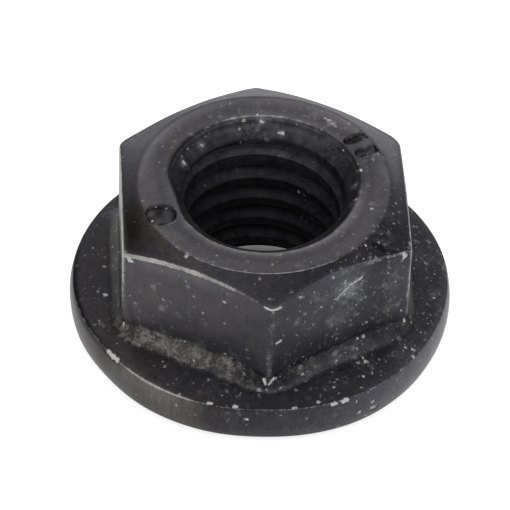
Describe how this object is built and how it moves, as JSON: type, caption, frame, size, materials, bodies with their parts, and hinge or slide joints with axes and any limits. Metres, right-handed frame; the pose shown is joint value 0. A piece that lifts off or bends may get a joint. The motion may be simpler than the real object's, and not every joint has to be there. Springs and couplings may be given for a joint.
{
  "type": "serrated flange nut",
  "caption": "Hexagon nut with a wide flange whose bearing face has ratchet teeth, so that it holds against turning loose.",
  "frame": {"origin": "centre of the bearing face, on the thread axis", "axes": "+Z along the thread axis, from the flange to the top face; two corners of the hexagon point along Y"},
  "size_m": [0.0176, 0.0176, 0.008],
  "materials": {
    "black_oxide_steel": "black oxide on cold formed steel, satin, rubbed grey on its edges and top face"
  },
  "bodies": {
    "root": {"flange_nut": "black_oxide_steel"}
  },
  "joints": []
}
